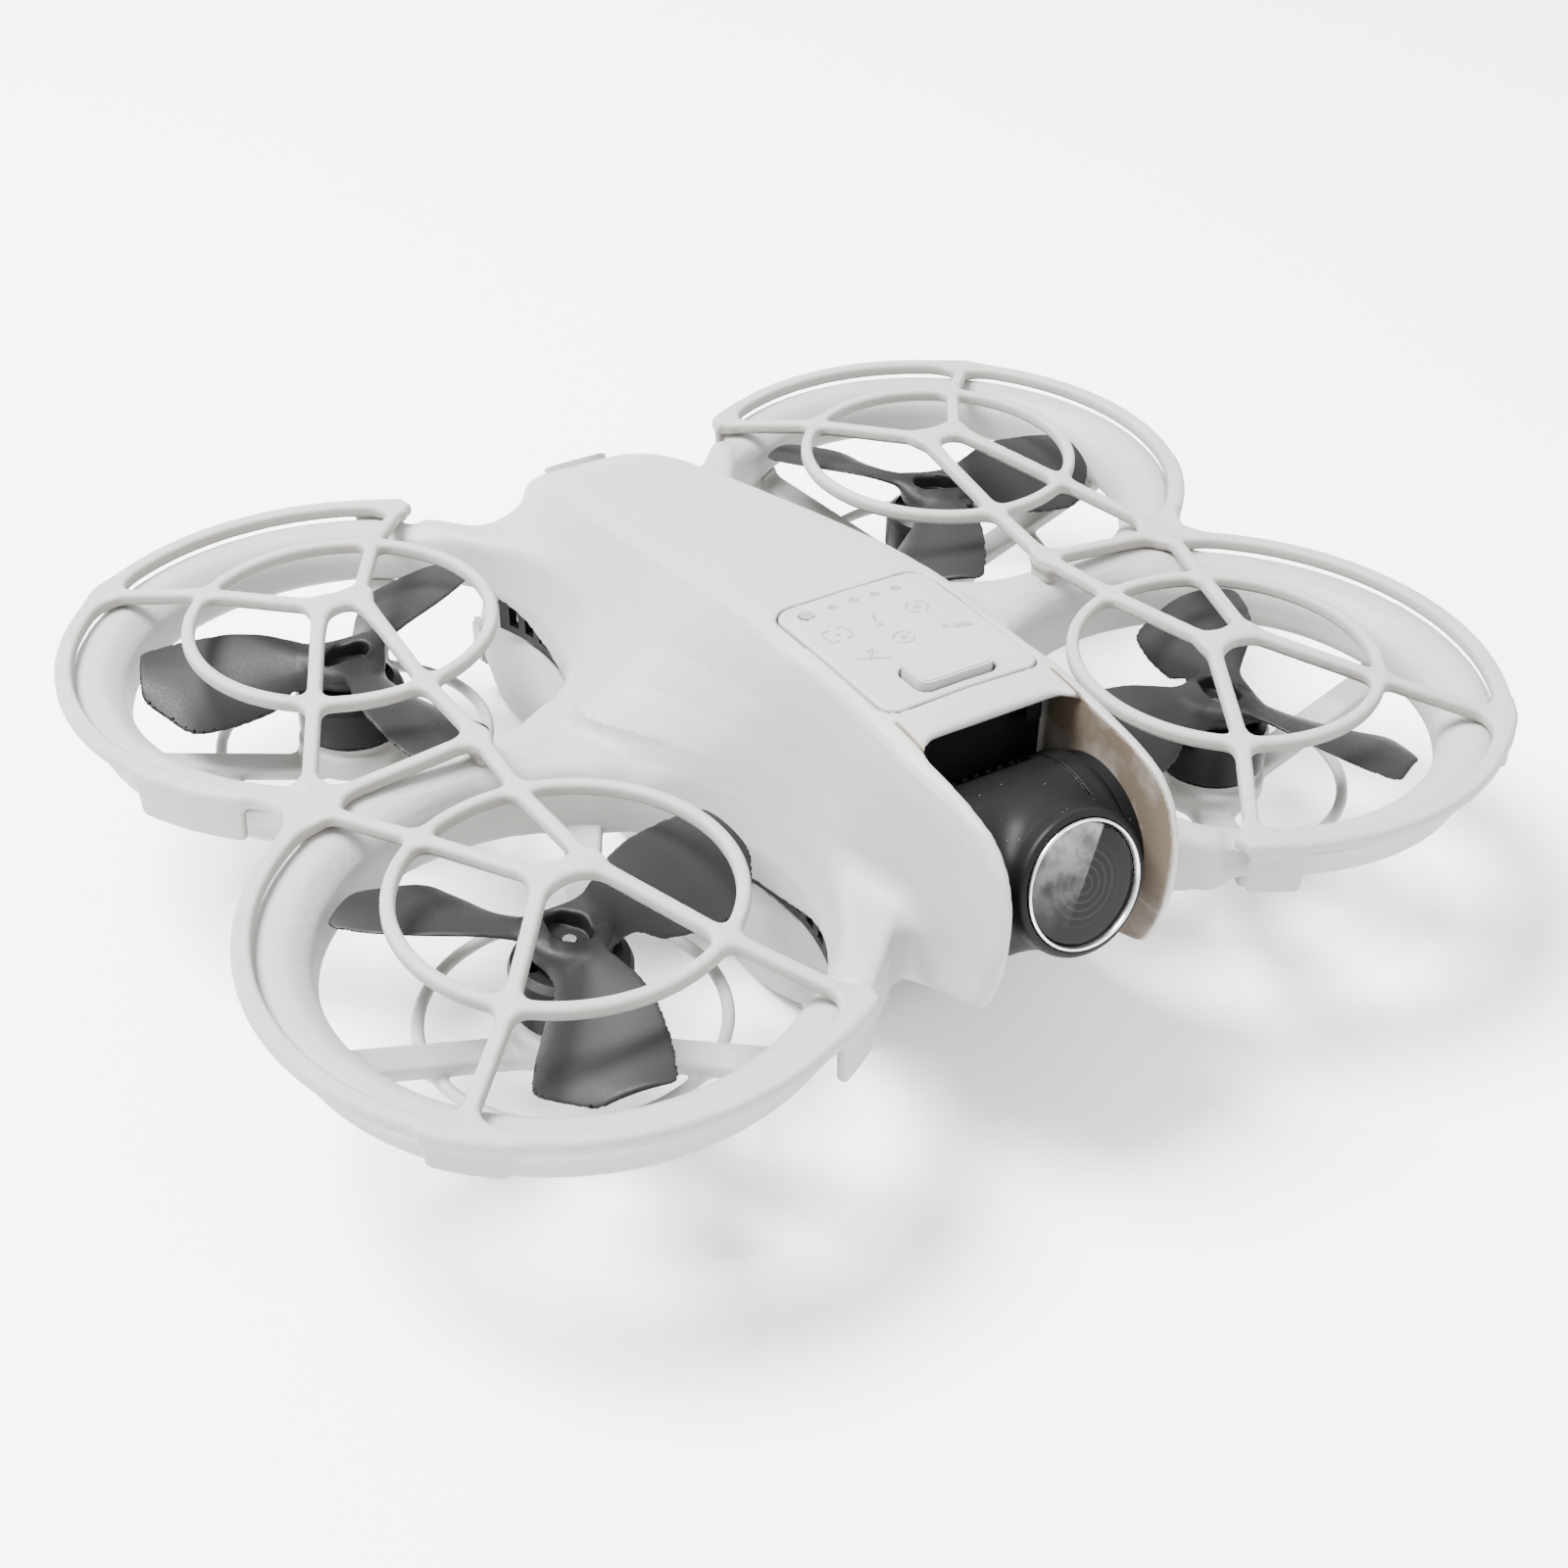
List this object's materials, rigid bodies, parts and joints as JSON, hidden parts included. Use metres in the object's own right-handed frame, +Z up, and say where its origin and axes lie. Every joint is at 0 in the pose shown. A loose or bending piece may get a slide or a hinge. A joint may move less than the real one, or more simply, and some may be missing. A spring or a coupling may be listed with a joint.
{
  "type": "ducted camera drone",
  "caption": "Palm-size flying camera: ducted rotors under lift-off wire guards, a tilting nose camera between two ears, a slide-out battery and a top panel with a press button.",
  "frame": {"origin": "middle of the overall box, on the plane the body stands on", "axes": "+X to the drone's left, sideways across the rotors; nose towards -Y; +Z up"},
  "size_m": [0.157, 0.1292, 0.0484],
  "materials": {
    "shell_white": "fine matt texture",
    "guard_white": "slightly coarser matt texture",
    "propeller_grey": "matt",
    "motor_black": "satin",
    "steel": "bright",
    "camera_black": "fine satin texture",
    "lens_silver": "polished",
    "lens_glass": "coated",
    "trim_black": "matt",
    "light_window": "milky",
    "board_green": "solder mask",
    "sink_alloy": "plain",
    "contact_gold": "plated",
    "flex_amber": "film"
  },
  "bodies": {
    "frame": {"upper_shell": "shell_white", "lower_shell": "shell_white", "duct_fl": "shell_white", "duct_fr": "shell_white", "duct_rl": "shell_white", "duct_rr": "shell_white", "spider_fl": "shell_white", "spider_fr": "shell_white", "spider_rl": "shell_white", "spider_rr": "shell_white", "vent_left": "trim_black", "vent_right": "trim_black", "control_panel": "shell_white", "status_lights": "light_window", "motor_base_fl": "motor_black", "motor_base_fr": "motor_black", "motor_base_rl": "motor_black", "motor_base_rr": "motor_black", "tilt_motor": "camera_black", "tilt_pin": "steel", "gimbal_bracket": "trim_black", "flex_cable": "flex_amber", "battery_contacts": "contact_gold", "main_board": "board_green", "heat_sink": "sink_alloy", "antenna_left": "contact_gold", "antenna_right": "contact_gold", "down_camera": "trim_black", "range_sensor": "trim_black", "usb_port": "steel", "shell_screws": "steel", "motor_screws": "steel"},
    "rotor_fl": {"motor_bell_fl": "motor_black", "motor_shaft_fl": "steel", "propeller_fl": "propeller_grey"},
    "rotor_fr": {"motor_bell_fr": "motor_black", "motor_shaft_fr": "steel", "propeller_fr": "propeller_grey"},
    "rotor_rl": {"motor_bell_rl": "motor_black", "motor_shaft_rl": "steel", "propeller_rl": "propeller_grey"},
    "rotor_rr": {"motor_bell_rr": "motor_black", "motor_shaft_rr": "steel", "propeller_rr": "propeller_grey"},
    "camera": {"camera_drum": "camera_black", "lens_ring": "lens_silver", "lens_glass": "lens_glass", "lens_stack": "camera_black"},
    "mode_button": {"mode_button": "shell_white"},
    "power_button": {"power_button": "shell_white"},
    "battery": {"battery_pack": "shell_white"},
    "latch_left": {"battery_latch_left": "shell_white"},
    "latch_right": {"battery_latch_right": "shell_white"},
    "guard_left": {"guard_left": "guard_white"},
    "guard_right": {"guard_right": "guard_white"}
  },
  "joints": [
    {"name": "rotor_fl_spin", "type": "hinge", "parent": "frame", "child": "rotor_fl", "pos_m": [0.0443, -0.0304, 0.022], "axis": [0, 0, 1], "continuous": true},
    {"name": "rotor_fr_spin", "type": "hinge", "parent": "frame", "child": "rotor_fr", "pos_m": [-0.0443, -0.0304, 0.022], "axis": [0, 0, 1], "continuous": true},
    {"name": "rotor_rl_spin", "type": "hinge", "parent": "frame", "child": "rotor_rl", "pos_m": [0.0443, 0.0304, 0.022], "axis": [0, 0, 1], "continuous": true},
    {"name": "rotor_rr_spin", "type": "hinge", "parent": "frame", "child": "rotor_rr", "pos_m": [-0.0443, 0.0304, 0.022], "axis": [0, 0, 1], "continuous": true},
    {"name": "camera_tilt", "type": "hinge", "parent": "frame", "child": "camera", "pos_m": [0, -0.0485, 0.032], "axis": [-1, 0, 0], "range_deg": [-107, 42]},
    {"name": "mode_button_press", "type": "slide", "parent": "frame", "child": "mode_button", "axis": [0, 0, -1], "range_m": [0, 0.0003], "stiffness_N_per_m": 800},
    {"name": "power_button_press", "type": "slide", "parent": "frame", "child": "power_button", "axis": [0, -0.515, -0.8572], "range_m": [0, 0.0003], "stiffness_N_per_m": 800},
    {"name": "battery_slide", "type": "slide", "parent": "frame", "child": "battery", "axis": [0, 1, 0], "range_m": [0, 0.06]},
    {"name": "latch_left_press", "type": "slide", "parent": "battery", "child": "latch_left", "axis": [-1, 0, 0], "range_m": [0, 0.0007], "stiffness_N_per_m": 600},
    {"name": "latch_right_press", "type": "slide", "parent": "battery", "child": "latch_right", "axis": [1, 0, 0], "range_m": [0, 0.0007], "stiffness_N_per_m": 600},
    {"name": "guard_left_lift", "type": "slide", "parent": "frame", "child": "guard_left", "axis": [0, 0, 1], "range_m": [0, 0.03]},
    {"name": "guard_right_lift", "type": "slide", "parent": "frame", "child": "guard_right", "axis": [0, 0, 1], "range_m": [0, 0.03]}
  ]
}
